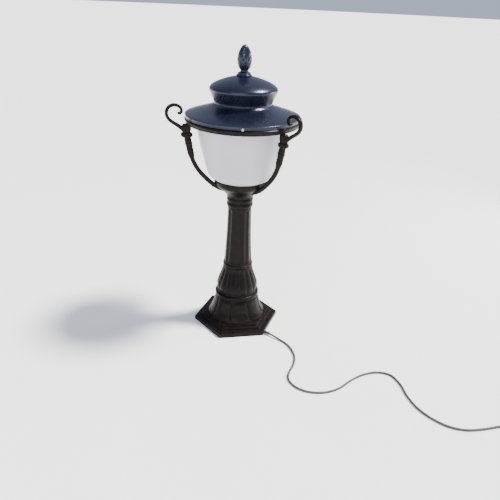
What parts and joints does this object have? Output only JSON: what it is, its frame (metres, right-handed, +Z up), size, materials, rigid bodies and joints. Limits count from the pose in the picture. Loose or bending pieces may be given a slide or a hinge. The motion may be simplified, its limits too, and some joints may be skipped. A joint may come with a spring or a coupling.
{
  "type": "bollard light",
  "caption": "Cast garden bollard light: fluted post on a hexagonal foot, opal bowl held by scrolled arms under a hinged domed canopy with a pine-cone finial.",
  "frame": {"origin": "centre of the underside of the base cover plate, which is flush with the foot, at ground level", "axes": "+Z up along the post; -Y is the flat of the hexagonal foot that faces the viewer; +X to the right"},
  "size_m": [1.1671, 0.9165, 1],
  "materials": {
    "cast_black": "satin brown-black paint on cast aluminium, slightly glossy on the raised edges",
    "canopy_paint": "satin blue-black paint on spun aluminium",
    "opal": "opal acrylic, frosted, translucent",
    "steel": "zinc-plated",
    "gasket": "matt",
    "ceramic": "glazed",
    "brass": "rolled thread, bright",
    "bulb_glass": "white diffusing bulb",
    "terminal_plastic": "natural nylon",
    "cord": "dusty dark olive-grey rubber",
    "plug_rubber": "moulded, matt"
  },
  "bodies": {
    "post": {"base_casting": "cast_black", "base_cover_plate": "cast_black", "vase_casting": "cast_black", "lower_collar": "cast_black", "column_shaft": "cast_black", "column_head": "cast_black", "cup": "cast_black", "arm_right": "cast_black", "arm_rear": "cast_black", "arm_left": "cast_black", "frame_ring": "cast_black", "hinge_bracket": "cast_black", "diffuser": "opal", "cover_screw_1": "steel", "cover_screw_2": "steel", "cover_screw_3": "steel", "arm_bolt_right": "steel", "arm_bolt_rear": "steel", "arm_bolt_left": "steel", "arm_screw_right": "steel", "arm_screw_rear": "steel", "arm_screw_left": "steel", "hinge_pin": "steel", "tie_tube": "steel", "tie_washer_lower": "steel", "tie_nut_lower": "steel", "tie_washer_upper": "steel", "tie_nut_upper": "steel", "plug_pin_1": "steel", "plug_pin_2": "steel", "upper_gasket": "gasket", "lower_gasket": "gasket", "cord_tail": "gasket", "lamp_lead": "gasket", "entry_sleeve": "gasket", "lampholder_cap": "ceramic", "lampholder_body": "ceramic", "terminal_block": "terminal_plastic", "cord_run": "cord", "cord_coil": "cord", "cord_end": "cord", "plug_relief": "plug_rubber", "plug_body": "plug_rubber", "coil_tie": "plug_rubber"},
    "canopy": {"canopy": "canopy_paint", "finial": "canopy_paint", "finial_washer": "steel", "finial_nut": "steel", "canopy_seal": "gasket", "hinge_leaf": "cast_black"},
    "latch_screw_front": {"latch_screw_front": "steel"},
    "latch_screw_side": {"latch_screw_side": "steel"},
    "bulb": {"bulb_cap": "brass", "bulb_globe": "bulb_glass"}
  },
  "joints": [
    {"name": "canopy_hinge", "type": "hinge", "parent": "post", "child": "canopy", "pos_m": [-0.11272, 0.16279, 0.776], "axis": [-0.8221, -0.5693, 0], "range_deg": [0, 95]},
    {"name": "latch_screw_front_turn", "type": "hinge", "parent": "canopy", "child": "latch_screw_front", "pos_m": [-0.02972, -0.18766, 0.7796], "axis": [-0.1564, -0.9877, 0], "continuous": true},
    {"name": "latch_screw_side_turn", "type": "hinge", "parent": "canopy", "child": "latch_screw_side", "pos_m": [0.18612, -0.03821, 0.7796], "axis": [0.9796, -0.2011, 0], "continuous": true},
    {"name": "bulb_turn", "type": "hinge", "parent": "post", "child": "bulb", "pos_m": [0, 0, 0.58], "axis": [0, 0, 1], "continuous": true}
  ]
}
